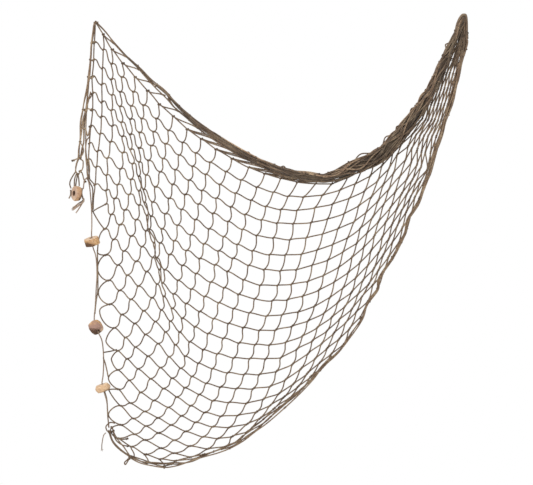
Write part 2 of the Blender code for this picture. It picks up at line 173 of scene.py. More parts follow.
# Along the swag, from share to share: how wide its core is, as a share of its half width, and
# how dark the core is drawn, as painted shade inside the bundle; then how light the strands are.
CORE_SHARE, CORE_PAINTED_SHADE = (0.18, 0.32, 0.0, 0.55), (0.35, 0.60, 0.75, 0.36)
SWAG_TONE = (0.2, 0.55, 1.28, 1.0)
# Loops of twine that stand out above the swag: (start and end as shares of its length, how far).
SWAG_LOOPS = (
    (0.625, 0.665, 9), (0.700, 0.722, 6), (0.735, 0.750, 5), (0.780, 0.796, 4), (0.830, 0.842, 4),
    (0.470, 0.482, 4), (0.395, 0.405, 3), (0.930, 0.940, 4),
)

# The hem's outer edge from the right hanging point to the bottom left: (across, down, half width).
HEM = (
    (8, 24, 3), (11, 43, 4.5), (12.5, 66, 6), (9.5, 82, 6.5), (6, 94, 7), (1, 108, 7.5),
    (-6, 134, 8), (-13.5, 168, 8), (-26, 218, 8), (-42, 259, 7), (-50, 290, 6.5), (-65, 334, 6),
    (-77, 379, 5), (-86, 401, 5), (-104, 454, 4.5), (-130, 494, 4), (-137, 528, 4), (-166, 583, 4),
    (-199, 634, 4), (-204, 662, 4.5), (-230, 698, 4), (-242, 734, 4), (-278, 785, 4.5),
    (-298, 811, 5), (-331, 845, 5), (-362, 881, 5.5), (-403, 922, 6), (-446, 960, 7),
    (-487, 994, 8), (-523, 1021, 8), (-562, 1042, 7), (-607, 1059, 6), (-650, 1075, 7),
    (-691, 1085, 9), (-727, 1088, 9), (-770, 1078, 8), (-802, 1063, 4),
)
HEM_STEPS, HEM_WAVES = 260, 44
HEM_KNOT_GAP, HEM_SMOOTHING = 29, 17    # in steps
# Strands of the hem, as shares of its length: (start, end).
HEM_STRANDS = (
    (0.0, 1.0), (0.0, 1.0), (0.0, 1.0), (0.0, 0.46), (0.0, 0.40), (0.01, 0.33), (0.02, 0.28),
    (0.60, 0.84),
)

# Twine that turns over the right hanging point: nested arches that lean to the left below it.
TIP_MIDDLE, TIP_FOOT, TIP_TOP = 2.5, 50.0, 0.5     # across, and down of the foot and the crest
TIP_WIDTH, TIP_LEAN, TIP_ARCHES = 8.0, -14.0, 9

# Loose strands, each a row of (across, down) places. First those of the flap down the left edge.
FLAP_STRANDS = (
    ((-878, 20), (-881, 17), (-885, 23), (-887, 38), (-889, 53), (-892, 74), (-893, 98),
     (-894, 110), (-896, 134), (-898, 154), (-901, 170), (-904, 187), (-909, 211), (-912, 235),
     (-916, 259), (-917, 290), (-919, 307), (-922, 326), (-923, 346), (-928, 362), (-929, 379),
     (-924, 385)),
    ((-893, 100), (-894, 120), (-897, 151), (-900, 182), (-902, 206), (-905, 230), (-910, 250),
     (-910, 278), (-910, 307), (-914, 322), (-916, 334), (-919, 346)),
    ((-895, 128), (-897, 154), (-899, 182), (-902, 216), (-904, 250), (-905, 290), (-905, 326),
     (-902, 355), (-902, 379), (-900, 394)),
    ((-893, 187), (-900, 216), (-906, 235), (-912, 257), (-914, 278), (-918, 307)),
    ((-894, 274), (-896, 295), (-902, 302), (-905, 322), (-904, 350), (-901, 374), (-900, 394)),
    ((-895, 269), (-896, 310), (-898, 331), (-898, 350), (-896, 374), (-899, 394)),
    ((-919, 307), (-912, 319), (-910, 329), (-913, 338), (-919, 347), (-912, 352), (-911, 358),
     (-912, 370), (-917, 379), (-924, 385)),
    ((-919, 347), (-926, 348), (-935, 352)),
    ((-919, 377), (-914, 382), (-910, 396), (-907, 403)),
    ((-890, 70), (-887, 67), (-883, 68)),
    ((-894, 110), (-890, 112), (-886, 110)),
    ((-898, 151), (-893, 155), (-887, 151)),
    ((-902, 192), (-898, 204), (-893, 199), (-890, 192)),
    ((-910, 230), (-905, 235), (-900, 228), (-892, 230)),
    ((-913, 274), (-905, 278), (-900, 293), (-894, 271)),
)
# Strands from the flap's end to the fourth float, and from the selvedge to the float line.
FAN_STRANDS = (
    ((-928, 377), (-936, 389), (-942, 401), (-943, 410), (-940, 419)),
    ((-926, 382), (-931, 396), (-932, 414)),
    ((-924, 385), (-927, 398), (-929, 413)),
    ((-923, 385), (-921, 398), (-920, 413)),
    ((-941, 422), (-941, 434), (-945, 443)),
    ((-900, 394), (-893, 408), (-888, 420), (-888, 446), (-889, 475)),
    ((-884, 408), (-883, 418), (-886, 442), (-887, 470)),
    ((-877, 566), (-876, 614), (-876, 662), (-880, 690), (-883, 720)),
    ((-859, 906), (-854, 926), (-852, 962), (-849, 992)),
    ((-863, 812), (-845, 809), (-830, 805)),
    ((-863, 824), (-857, 842), (-851, 870)),
)
# The bunched bottom left corner.
CORNER_STRANDS = (
    ((-835, 982), (-845, 980), (-852, 984), (-857, 991), (-854, 1000), (-848, 1003)),
    ((-845, 991), (-840, 998), (-836, 1010), (-828, 1022), (-814, 1039), (-799, 1061)),
    ((-850, 998), (-846, 1015), (-838, 1031), (-823, 1046), (-799, 1063)),
    ((-847, 1003), (-841, 1022), (-830, 1036), (-814, 1050), (-797, 1061)),
    ((-842, 991), (-833, 1013), (-821, 1020), (-806, 1019)),
    ((-840, 1001), (-833, 1022), (-818, 1034), (-804, 1037)),
    ((-799, 1064), (-806, 1070), (-812, 1076), (-810, 1081), (-805, 1074), (-802, 1068)),
)

# Strands gathered between the swag and the hem under the right hanging point: (across, down).
GATHERED_STRANDS = (
    ((1, 30), (-3, 60), (-9, 92), (-14, 124)),
    ((3, 34), (0, 64), (-5, 96), (-10, 126)),
    ((6, 38), (3, 70), (-2, 98), (-6, 118)),
    ((-3, 46), (-9, 74), (-16, 102), (-23, 126)),
    ((5, 26), (1, 52), (-7, 84), (-18, 118)),
    ((-1, 22), (0, 48), (2, 76), (-2, 104)),
    ((4, 44), (-4, 68), (-12, 90), (-19, 110)),
    ((0, 36), (-6, 66), (-12, 96), (-18, 122)),
    ((2, 28), (-1, 58), (-8, 88), (-12, 112)),
    ((-4, 50), (-12, 74), (-20, 98), (-28, 124)),
    ((-6, 60), (-16, 84), (-23, 108), (-30, 130)),
    ((-2, 44), (-9, 76), (-19, 104), (-25, 128)),
)

# The float line, and the two loose ends: (across, down, out) places.
FLOAT_LINE = (
    (-910, 420, -15), (-908, 403, -12), (-904, 395, -9), (-899, 400, -7), (-895, 420, -6),
    (-891, 470, -6), (-890, 508, -10), (-890, 532, -18), (-887, 559, -14), (-880, 584, -8),
    (-878, 625, -6), (-880, 662, -6), (-882, 700, -6), (-884, 736, -10), (-874, 762, -21),
    (-865, 787, -10), (-862, 830, -6), (-863, 866, -10), (-865, 886, -17), (-860, 907, -14),
    (-854, 932, -8), (-852, 962, -6), (-850, 990, -6),
)
CORNER_END = (
    (-856, 1004, -12), (-861, 1009, -12), (-864, 1020, -11), (-866, 1034, -10), (-866, 1046, -10),
)
TAIL = (
    (-912, 418, -14), (-914, 430, -14), (-911, 443, -13), (-909, 449, -13), (-916, 456, -12),
    (-925, 462, -12), (-935, 469, -12),
)
# The plies that come loose beside the tail: (across, down) places.
TAIL_PLIES = (
    ((-908, 445), (-911, 452), (-919, 459), (-927, 465), (-935, 471)),
    ((-908, 443), (-913, 449), (-922, 455), (-930, 461), (-936, 465)),
    ((-911, 452), (-916, 460), (-921, 468), (-928, 478)),
)
TAIL_PLIES_OUT = (-15.0, -10.0, -13.0)
PLY_RADIUS, FRAY_RADIUS = 1.5, 0.45
FRAYS = ((TAIL, 7, 7.0), (CORNER_END, 4, 6.0))      # at the end of: how many, how long
# The cords: name, table, radius, steps, what the far end is, slot.
CORDS = (
    ("float_line", FLOAT_LINE, 1.5, 220, "object", "line_twine"),
    ("corner_end", CORNER_END, 1.2, 40, "bare", "tie_twine"),
    ("float_tail", TAIL, 2.0, 40, "bare", "tie_twine"),
)

# Cork floats: centre (across, down, out), bore direction, half width, half height, bulge, bore
# radius, the direction of the darkened side (its dark bark, turned away from the light, which also
# stands for painted shade there), how strongly stained and how pale.
FLOATS = {
    "float_1": ((-889, 546, -16), (-0.25, -0.22, 0.94),
                18.0, 9.0, 0.03, 3.2, (-0.30, -0.25, -1.0), 0.35, 0.1),
    "float_2": ((-880, 751, -16), (-0.50, 0.50, 0.70),
                16.5, 12.0, 0.12, 3.2, (-0.15, -0.30, -1.0), 1.3, 0.0),
    "float_3": ((-863, 896, -16), (-0.28, -0.08, 0.94),
                18.0, 8.8, 0.18, 3.2, (0.45, 0.1, -1.0), 0.25, 0.6),
    "float_4": ((-926, 431, -16), (-0.86, -0.51, 0.05),
                18.3, 7.0, 0.05, 6.0, (1.0, 0.3, -0.35), 0.9, 0.1),
}
CORK_SIDES = 72
EDGE_ROUNDING = 1.5
CORK_RIPPLES = ((18.0, 0.45, 0), (5.0, 0.2, 50))    # wavelength, height, step of the seed


def spline_kernel(squared_distance):
    """Thin plate kernel, r squared times log r squared, zero at r = 0."""
    return squared_distance * np.log(np.maximum(squared_distance, 1e-12))


def fit_drape():
    """Solve the thin plate spline that passes through every knot of the DRAPE table."""
    knots = np.array([(a, b) for b, *cells in DRAPE for a, _, _ in cells], float)
    places = np.array([(x, -down) for _, *cells in DRAPE for _, x, down in cells], float)
    count = len(knots)
    system = np.zeros((count + 3, count + 3))
    system[:count, :count] = spline_kernel(((knots[:, None] - knots[None]) ** 2).sum(-1))
    system[:count, count] = system[count, :count] = 1.0
    system[:count, count + 1:] = knots
    system[count + 1:, :count] = knots.T
    weights = np.linalg.solve(system, np.vstack([places, np.zeros((3, 2))]))
    return knots, weights


DRAPE_KNOTS, DRAPE_WEIGHTS = fit_drape()


def smoothstep(low, high, value):
    """0 below low, 1 above high, and a smooth cubic between."""
    t = np.clip((value - low) / (high - low), 0.0, 1.0)
    return t * t * (3.0 - 2.0 * t)


def change(value, low, high, start, end):
    """start where the value is below low, end where it is above high, and a smoothstep between."""
    return start + (end - start) * smoothstep(low, high, value)


def unit(vectors):
    """The vectors at length one."""
    return vectors / np.maximum(np.linalg.norm(vectors, axis=-1, keepdims=True), 1e-9)


def read_at(at, places, columns):
    """Columns of values that are given at rising places, read at other places."""
    return np.stack([np.interp(at, places, column) for column in columns.T], -1)


def path_length(path):
    """Length of a path in metres."""
    return float(np.linalg.norm(np.diff(path, axis=0), axis=1).sum())


def net_point(a, b):
    """Place in metres of the netting at row a, column b: the spline across and down, turning into
    the CURTAIN table in the right corner, and the standing fold plus a slow wave in depth."""
    a, b = np.asarray(a, float), np.asarray(b, float)
    place = np.stack([a, b], -1)
    distance = ((place[..., None, :] - DRAPE_KNOTS) ** 2).sum(-1)
    count = len(DRAPE_KNOTS)
    flat = spline_kernel(distance) @ DRAPE_WEIGHTS[:count] + DRAPE_WEIGHTS[count]
    flat = flat + place @ DRAPE_WEIGHTS[count + 1:]
    u, v = b - a, a + b
    rows = np.array(CURTAIN, float)
    ends = read_at(u, rows[:, 0], rows[:, 1:])
    share = ((v - CURTAIN_V) / (HEM_V - CURTAIN_V))[..., None]
    gathered = (ends[..., :2] + (ends[..., 2:] - ends[..., :2]) * share) * (1, -1)
    blend = smoothstep(*CURTAIN_FROM, u)[..., None]
    flat = flat * (1 - blend) + gathered * blend
    along = smoothstep(*FOLD_STARTS, v) * (1 - smoothstep(*FOLD_ENDS, v))
    fold = FOLD_OUT * along * np.exp(-((u - FOLD_U) / FOLD_WIDTH) ** 2)
    wave = WAVE_OUT * np.sin(WAVE_U * u + WAVE_V * v)
    return np.stack([flat[..., 0], BEHIND + wave - fold, flat[..., 1]], -1) * MM


def table_path(table, count):
    """Catmull-Rom curve through a table's rows, read at count even steps of its length.

    Returns the places in metres and the remaining columns in metres."""
    rows = np.asarray(table, float)
    padded = np.vstack([2 * rows[0] - rows[1], rows, 2 * rows[-1] - rows[-2]])
    t = np.linspace(0, 1, SPAN_STEPS + 1)[:-1, None]
    pieces = []
    for i in range(1, len(padded) - 2):
        before, start, end, after = padded[i - 1:i + 3]
        pieces.append(0.5 * (2 * start + (end - before) * t
                             + (2 * before - 5 * start + 4 * end - after) * t * t
                             + (3 * start - before - 3 * end + after) * t ** 3))
    fine = np.vstack(pieces + [padded[-2][None]])
    place = np.stack([fine[:, 0], fine[:, 2], -fine[:, 1]], -1)
    length = np.r_[0, np.cumsum(np.linalg.norm(np.diff(place, axis=0), axis=1))]
    even = np.linspace(0, length[-1], count)
    read = read_at(even, length, np.concatenate([place, fine[:, 3:]], 1)) * MM
    return read[:, :3], read[:, 3:]


def smooth_noise(rng, count, steps, knots):
    """count random curves of the given number of steps: a uniform cubic B-spline over random
    values, with that many knots."""
    values = rng.normal(size=(count, knots + 3))
    place = np.linspace(0, knots - 1e-6, steps)
    i = place.astype(int)
    t = place - i
    v0, v1, v2, v3 = (values[:, i + k] for k in range(4))
    return ((1 - t) ** 3 * v0 + (3 * t ** 3 - 6 * t ** 2 + 4) * v1
            + (-3 * t ** 3 + 3 * t ** 2 + 3 * t + 1) * v2 + t ** 3 * v3) / 6


def linear(hex_colour):
    """A colour of the shader from an sRGB hex value."""
    srgb = [int(hex_colour[i:i + 2], 16) / 255 for i in (1, 3, 5)]
    return (*[c / 12.92 if c <= 0.04045 else ((c + 0.055) / 1.055) ** 2.4 for c in srgb], 1.0)


def add_node(tree, kind, inputs=(), **settings):
    """Add a node with its settings; inputs maps a socket to a value or another node's output."""
    node = tree.nodes.new(kind)
    for key, value in settings.items():
        setattr(node, key, value)
    for socket, value in dict(inputs).items():
        if isinstance(value, bpy.types.NodeSocket):
            tree.links.new(value, node.inputs[socket])
        else:
            node.inputs[socket].default_value = value
    return node


def ramp(tree, factor, stops):
    """A colour ramp through (place, hex colour) stops."""
    node = add_node(tree, "ShaderNodeValToRGB", {"Fac": factor})
    elements = node.color_ramp.elements
    while len(elements) < len(stops):
        elements.new(0.5)
    for element, (place, colour) in zip(elements, stops):
        element.position = place
        element.color = linear(colour)
    return node.outputs["Color"]


def noise(tree, place, size, **inputs):
    """Noise with features of about the given size in metres."""
    inputs = {"Vector": place, "Scale": 1 / size, **inputs}
    return add_node(tree, "ShaderNodeTexNoise", inputs).outputs["Fac"]


def remap(tree, value, low, high, at_low=0.0, at_high=1.0):
    """The value at_low at low and below, at_high at high and above."""
    inputs = {"Value": value, "From Min": low, "From Max": high,
              "To Min": at_low, "To Max": at_high}
    return add_node(tree, "ShaderNodeMapRange", inputs).outputs["Result"]


def mix(tree, factor, first, second, **settings):
    """The first colour where the factor is 0, the second where it is 1."""
    inputs = {"Factor": factor, "A": first, "B": second}
    return add_node(tree, "ShaderNodeMix", inputs, data_type="RGBA", **settings).outputs["Result"]


def compute(tree, operation, *values):
    """The result of a sum on one to three values."""
    return add_node(tree, "ShaderNodeMath", enumerate(values), operation=operation).outputs[0]


def attribute(tree, name):
    """A number that the mesh holds for each vertex."""
    return add_node(tree, "ShaderNodeAttribute", attribute_name=name).outputs["Fac"]


def start_material(name, roughness):
    """A dull material with its Principled shader."""
    material = bpy.data.materials.new(name)
    material.use_nodes = True
    tree = material.node_tree
    shader = tree.nodes["Principled BSDF"]
    shader.inputs["Roughness"].default_value = roughness
    shader.inputs["Specular IOR Level"].default_value = 0.25
    return material, tree, shader


def join_shader(tree, shader, colour, relief, strength, distance):
    """Give the shader its colour, and the relief as a bump of the given height in metres."""
    bump = add_node(tree, "ShaderNodeBump",
                    {"Strength": strength, "Distance": distance, "Height": relief})
    tree.links.new(colour, shader.inputs["Base Color"])
    tree.links.new(bump.outputs["Normal"], shader.inputs["Normal"])


def twine_material(name, shades, painted_groove_shade="#241a13"):
    """Three-ply cotton twine, tanned brown-grey: dull, blotched where the tan took unevenly, with
    painted shade in the grooves between the plies and a nap of loose fibres that lights up at the
    edges."""
    material, tree, shader = start_material(name, 0.92)
    shader.inputs["Sheen Weight"].default_value = 0.15
    shader.inputs["Sheen Roughness"].default_value = 0.6
    place = add_node(tree, "ShaderNodeTexCoord").outputs["Object"]
    blotch = noise(tree, place, 0.022, Detail=3.0, Roughness=0.6)
    fibre = noise(tree, place, 0.0022, Detail=2.0, Roughness=0.7)
    both = compute(tree, "MULTIPLY_ADD", fibre, 0.28, compute(tree, "MULTIPLY", blotch, 0.72))
    # The tone attribute holds how light each strand is, so that a bundle shows its strands; in the
    # swag it also holds painted light and shade.
    dyed = add_node(tree, "ShaderNodeVectorMath",
                    {0: ramp(tree, both, shades), "Scale": attribute(tree, "tone")},
                    operation="SCALE").outputs[0]
    twist = add_node(tree, "ShaderNodeUVMap", uv_map="twist").outputs["UV"]
    # A wave texture has a period of 2 pi / 20 in X, so this scale gives a ply a whole turn of UV.
    ply = add_node(tree, "ShaderNodeTexWave",
                   {"Vector": twist, "Scale": 2 * math.pi / 20}).outputs["Fac"]
    # Painted shade: where the ply wave is low, the dyed colour is mixed towards a dark brown,
    # darkening the grooves between the plies.
    shade = mix(tree, remap(tree, ply, 0.0, 0.45, 0.45, 0.0), dyed, linear(painted_groove_shade))
    relief = compute(tree, "MULTIPLY_ADD", fibre, 0.35, ply)
    join_shader(tree, shader, shade, relief, 0.8, 0.0006)
    return material


def cork_material(name, shades, bark_and_shade="#4a3325", pore="#3a2417", pink="#94766a", pale="#84807a"):
    """Natural cork, cut and bored: dull, warm grain in thin layers with dark pores and broad
    pinkish stains. Cut ends are paler. One side, turned away from the light, keeps a rough dark
    bark that is also painted shade there, and the bore gets the same dark colour as painted shade."""
    material, tree, shader = start_material(name, 0.88)
    place = add_node(tree, "ShaderNodeTexCoord").outputs["Object"]
    layers = add_node(tree, "ShaderNodeMapping", {"Vector": place, "Scale": (1.0, 1.0, 3.2)})
    grain = noise(tree, layers.outputs[0], 0.007, Detail=5.0, Roughness=0.62)
    cells = add_node(tree, "ShaderNodeTexVoronoi",
                     {"Vector": place, "Scale": 1 / 0.0042}).outputs["Distance"]
    # Pores are the middles of the cells, kept only in patches.
    patch = remap(tree, noise(tree, place, 0.012, Detail=1.0), 0.48, 0.60)
    pores = compute(tree, "MULTIPLY", remap(tree, cells, 0.10, 0.26, 0.75, 0.0), patch)
    shade = mix(tree, pores, ramp(tree, grain, shades), linear(pore))
    shade = mix(tree, attribute(tree, "pale"), shade, linear(pale), blend_type="SCREEN")
    broad = remap(tree, noise(tree, place, 0.022, Detail=1.0), 0.35, 0.60, 0.15, 0.75)
    stain = compute(tree, "MULTIPLY", broad, attribute(tree, "stain"))
    shade = mix(tree, stain, shade, linear(pink))
    # Painted shade and bark: the tone attribute, high in the bore and on the side away from the
    # light, takes the colour to the dark bark colour with a ragged edge.
    ragged = compute(tree, "MULTIPLY_ADD", grain, 1.1, attribute(tree, "tone"))
    shade = mix(tree, remap(tree, ragged, 0.85, 1.10, 0.0, 0.92), shade, linear(bark_and_shade))
    relief = compute(tree, "MULTIPLY_ADD", pores, -1.5, grain)
    join_shader(tree, shader, shade, relief, 0.7, 0.0012)
    return material


NET_SHADES = ((0.30, "#503d2d"), (0.45, "#6a5542"), (0.56, "#7e6a54"), (0.70, "#98856c"))
LINE_SHADES = ((0.30, "#6b5747"), (0.48, "#8b7563"), (0.62, "#a08b77"), (0.75, "#b29e8a"))
CORK_SHADES = ((0.30, "#94683c"), (0.45, "#b48a58"), (0.58, "#c9a377"), (0.72, "#dabf99"))
NET_TWINE = twine_material("tanned three-ply cotton twine", NET_SHADES)
LINE_TWINE = twine_material("washed three-ply cotton cord", LINE_SHADES)
CORK = cork_material("cut and bored natural cork", CORK_SHADES)


def sweep(paths, radius, sides, tone=1.0, pitch=LAY_PITCH, plies=PLIES):
    """Round strands along paths of shape (strands, steps, 3), in metres.

    tone is how light each strand is, as one number, a number a strand, or one a step.

    The section is a regular polygon across the path; its first corner keeps to the depth
    direction as far as it can. The UV map holds the ply's phase in turns and the length in
    millimetres, so that a material can draw the twist."""
    paths = np.asarray(paths, float)
    strands, steps = paths.shape[:2]
    ahead = unit(np.gradient(paths, axis=1))
    # A fixed reference that no strand follows keeps the frames from flipping.
    side = unit(np.cross(ahead, unit(np.array([0.11, 1.0, 0.07]))))
    out = np.cross(side, ahead)
    angle = 2 * math.pi * np.arange(sides)[None, None, :, None] / sides
    reach = np.broadcast_to(np.asarray(radius, float) * MM, (strands, steps))[:, :, None, None]
    ring = side[:, :, None] * np.cos(angle) + out[:, :, None] * np.sin(angle)
    corners = paths[:, :, None] + ring * reach
    gaps = np.linalg.norm(np.diff(paths, axis=1), axis=2)
    length = np.concatenate([np.zeros((strands, 1)), np.cumsum(gaps, axis=1)], 1) / MM
    index = np.arange(strands * steps * sides).reshape(strands, steps, sides)
    turned = np.roll(index, -1, axis=2)
    quads = np.stack([index[:, :-1], turned[:, :-1], turned[:, 1:], index[:, 1:]], -1)
    here = np.broadcast_to(np.arange(sides) / sides * plies, (strands, steps - 1, sides))
    there = here + plies / sides
    near, far = (np.broadcast_to(x[..., None], here.shape) for x in (length[:, :-1], length[:, 1:]))
    uv = np.stack([np.stack([phase + run / pitch, run], -1)
                   for phase, run in ((here, near), (there, near), (there, far), (here, far))], -2)
    caps = np.concatenate([index[:, 0, ::-1], index[:, -1]], 0)
    tone = np.asarray(tone, float)
    tone = tone[:, None] if tone.ndim == 1 else tone
    tones = np.repeat(np.broadcast_to(tone, (strands, steps)).ravel(), sides)
    return corners.reshape(-1, 3), quads.reshape(-1, 4), uv.reshape(-1, 2), caps, tones


def add_object(name, data):
    """An object in the scene."""
    item = bpy.data.objects.new(name, data)
    bpy.context.scene.collection.objects.link(item)
    return item


def add_part(name, mesh, material, slot, **attributes):
    """A smooth piece of the part, riding on its one body, with numbers for each vertex."""
    for label, values in attributes.items():
        layer = mesh.attributes.new(label, "FLOAT", "POINT")
        layer.data.foreach_set("value", values.astype(np.float32))
    mesh.polygons.foreach_set("use_smooth", np.ones(len(mesh.polygons), bool))
    mesh.materials.append(material)
    item = add_object(name, mesh)
    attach(item, "root")
    return item


def add_piece(name, *swept, material=NET_TWINE, slot="net_twine"):
    """One piece of twine from the results of sweep."""
    corners, quads, uvs, caps, tones = zip(*swept)
    offsets = np.cumsum([0] + [len(places) for places in corners])
    quads = np.concatenate([faces + offset for faces, offset in zip(quads, offsets)])
    caps = [row + offset for ends, offset in zip(caps, offsets) for row in ends]
    sizes = np.array([4] * len(quads) + [len(row) for row in caps])
    mesh = bpy.data.meshes.new(name)
    mesh.vertices.add(offsets[-1])
    mesh.vertices.foreach_set("co", np.concatenate(corners).ravel())
    mesh.loops.add(sizes.sum())
    mesh.loops.foreach_set("vertex_index", np.concatenate([quads.ravel()] + caps))
    mesh.polygons.add(len(sizes))
    mesh.polygons.foreach_set("loop_start", np.cumsum(sizes) - sizes)
    mesh.polygons.foreach_set("loop_total", sizes)
    mesh.update(calc_edges=True)
    cap_uv = np.zeros((sizes[len(quads):].sum(), 2))
    layer = mesh.uv_layers.new(name="twist")
    layer.data.foreach_set("uv", np.concatenate([*uvs, cap_uv]).ravel())
    mesh.validate()
    return add_part(name, mesh, material, slot, tone=np.concatenate(tones))


def strand_tones(count, middle=1.0, spread=0.08, seed=4):
    """How light each of count knots or strands is."""
    rng = np.random.default_rng(SEED + seed)
    return np.clip(rng.normal(middle, spread, count), 0.4, 1.35)


def twine(paths, middle=1.0, spread=0.08, seed=4, sides=6):
    """Strands of the net's twine, some lighter than others."""
    return sweep(paths, TWINE_RADIUS, sides, strand_tones(len(paths), middle, spread, seed))


def knots(places, along, size=1.0, middle=0.8, spread=0.08, sides=5):
    """Knots as one closed loop of twine that crosses itself like a bow: along the bar direction
    cos t, across it sin 2t, and in depth sin 3t, with the three half sizes of a knot."""
    t = np.linspace(0, 2 * math.pi, KNOT_STEPS)
    rng = np.random.default_rng(SEED + 3)
    vary = rng.uniform(0.85, 1.2, (len(places), 1)) * size * MM
    x = (vary * KNOT_LENGTH * np.cos(t))[..., None] * along[:, None]
    z = (vary * KNOT_WIDTH * np.sin(2 * t))[..., None] * unit(np.cross(along, DEPTH))[:, None]
    y = (vary * KNOT_DEPTH * np.sin(3 * t + 0.7))[..., None] * DEPTH
    return twine(places[:, None] + x + z + y, middle, spread, sides=sides)


def knot_place(a, b):
    """The netting's place with the uneven tying of its knots, a fixed random shift for each."""
    rng = np.random.default_rng(SEED)
    shifts = rng.normal(size=(GRID, GRID, 3)) * (1.0, 0.8, 1.0) * JITTER * MM
    return net_point(a, b) + shifts[a, b] * change(b - a, *JITTER_U)[..., None]


def level_direction(a, b):
    """Unit vector of growing u, which the bars keep to where they leave a knot."""
    return unit(net_point(a - 0.5, b + 0.5) - net_point(a + 0.5, b - 0.5))


def hermite(start, end, leave, arrive):
    """Cubic Hermite curves from start to end with end directions times their strength."""
    t = np.linspace(0, 1, BAR_STEPS)[None, :, None]
    start, end, leave, arrive = (x[:, None] for x in (start, end, leave, arrive))
    return ((2 * t ** 3 - 3 * t ** 2 + 1) * start + (t ** 3 - 2 * t ** 2 + t) * leave
            + (3 * t ** 2 - 2 * t ** 3) * end + (t ** 3 - t ** 2) * arrive)


def field_knots():
    """Rows and columns of every knot of the open netting."""
    a, b = np.meshgrid(np.arange(FIRST_ROW, LAST_ROW + 1), np.arange(HEM_V + 1), indexing="ij")
    u = b - a
    shown = (a >= 0) | ((u >= FIRST_ROW_U[0]) & (u <= FIRST_ROW_U[1]))
    inside = shown & (a + b <= HEM_V) & (u >= SELVEDGE_U) & (u <= APEX_U)
    return a[inside], b[inside]


FIELD_A, FIELD_B = field_knots()


def row_ends(a, b):
    """End directions of the bars along the rows. Each leaves its knot to the right and a little up,
    drops, and arrives level: loose at the left, straight towards the right and in the top row."""
    u, v = b - a, a + b
    loose = change(u, *ROW_SLACK_U) * np.where(a == 0, TOP_ROW_SLACK, 1.0) * change(v, *ROW_SLACK_V)
    lift = change(u, *ROW_LIFT_U) * change(v, *ROW_LIFT_V)
    strength = change(u, *ROW_LEAVE_U) * loose
    return ((level_direction(a, b) + lift[:, None] * UP) * strength[:, None],
            level_direction(a, b + 1) * loose[:, None])


def column_ends(a, b):
    """End directions of the bars down the columns. Each leaves its knot down to the left, bulges to
    the right above the next knot and arrives at it heading left."""
    u, v = b - a, a + b
    loose = change(u, *COLUMN_SLACK_U) * change(b, *COLUMN_SLACK_B) * change(v, *COLUMN_SLACK_V)
    return (-level_direction(a, b) * (change(u, *COLUMN_LEAVE_U) * loose)[:, None],
            -level_direction(a + 1, b) * (change(u, *COLUMN_ARRIVE_U) * loose)[:, None])


def bars(down, right, ends, straight, seed):
    """A bar from every knot to the one that is down rows below and right columns beside it. Its end
    directions are uneven and grow with its length, with a straight share of the way."""
    field = set(zip(FIELD_A.tolist(), FIELD_B.tolist()))
    a, b = np.array([(a, b) for a, b in sorted(field) if (a + down, b + right) in field]).T
    start, end = knot_place(a, b), knot_place(a + down, b + right)
    rng = np.random.default_rng(SEED + seed)
    length = np.linalg.norm(end - start, axis=1) * rng.uniform(0.8, 1.2, len(a))
    leave, arrive = (aim * length[:, None] + (end - start) * straight
                     + rng.normal(size=aim.shape) * UNEVEN * length[:, None] for aim in ends(a, b))
    return hermite(start, end, leave, arrive)


def build_field():
    """The open netting: row bars, column bars and a knot at every crossing."""
    field = add_piece("net_field", twine(bars(0, 1, row_ends, 0.4, 1)),
                      twine(bars(1, 0, column_ends, 0.45, 2), seed=5))
    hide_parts("net")
    add_piece("net_knots", knots(knot_place(FIELD_A, FIELD_B), level_direction(FIELD_A, FIELD_B)))


def section_across(path):
    """Unit vectors across a path that never runs in depth, turned upwards."""
    across = unit(np.cross(unit(np.gradient(path, axis=0)), DEPTH))
    return across * np.where(across[:, 2:] < 0, -1.0, 1.0)


def beside(path, across, out):
    """Strands beside a path, by how far each is from it across its section and in depth."""
    return path + section_across(path) * across[..., None] + DEPTH * out[..., None]


def build_joins():
    """The bars that take the top row into the swag, doubled from column DOUBLED_FROM on, long and
    thin beside it: they end on its lower side, bent along it."""
    columns = np.arange(1, JOIN_COLUMNS)
    rows = np.zeros(len(columns), int)
    start, aim = knot_place(rows, columns), net_point(rows, columns + 1) + np.array(JOIN_SHIFT) * MM
    aim[:, 0] += change(columns, *JOIN_STRETCH) * MM
    swag, half_width = table_path(SWAG, 400)
    lower = swag - section_across(swag) * half_width * JOIN_HEIGHT
    nearest = ((aim[:, None] - lower[None]) ** 2).sum(-1).argmin(1)
    end, ahead = lower[nearest], unit(np.gradient(lower, axis=0))[nearest]
    straight = end - start
    glide = ahead * np.linalg.norm(straight, axis=1, keepdims=True)
    paths = []
    for side in (-JOIN_SPACING * MM, JOIN_SPACING * MM):
        offset, bow = np.array([0.25, 0.0, 1.0]) * side, UP * 3 * side
        paths.append(hermite(start + offset * 0.6, end + offset, 0.6 * straight + 0.5 * glide + bow,
                             0.3 * straight + 0.8 * glide - bow))
    paths = np.concatenate([paths[0], paths[1][columns >= DOUBLED_FROM]])
    add_piece("swag_joins", twine(paths, 0.9), knots(end, unit(straight), 0.75))


def build_selvedge():
    """The left selvedge below column 0: rounded loops from the selvedge knots to the float line."""
    above = np.array([(row - 1, row - 1 + SELVEDGE_U) for row, *_ in TIES]).T
    below = above + 1
    ties = np.array([(across, TIE_OUT, -down) for _, across, down, _ in TIES]) * MM
    loose = np.array([slack for *_, slack in TIES])[:, None]
    start, end = knot_place(*above), knot_place(*below)
    taut = (1 - loose) * 0.8
    paths = []
    for near, far, leave, arrive in ((start, ties, -level_direction(*above), -UP),
                                     (ties, end, -UP, level_direction(*below))):
        reach = loose * np.linalg.norm(far - near, axis=1, keepdims=True)
        straight = (far - near) * taut
        paths.append(hermite(near, far, leave * reach + straight, arrive * reach + straight))
    add_piece("selvedge", twine(np.concatenate(paths)))


def shorten(whole, starts, ends):
    """Each strand read again from its start to its end, as shares of the path."""
    steps = whole.shape[1]
    place = np.linspace(0, 1, steps)
    return np.array([read_at(np.linspace(start, end, steps), place, strand)
                     for strand, start, end in zip(whole, starts, ends)])


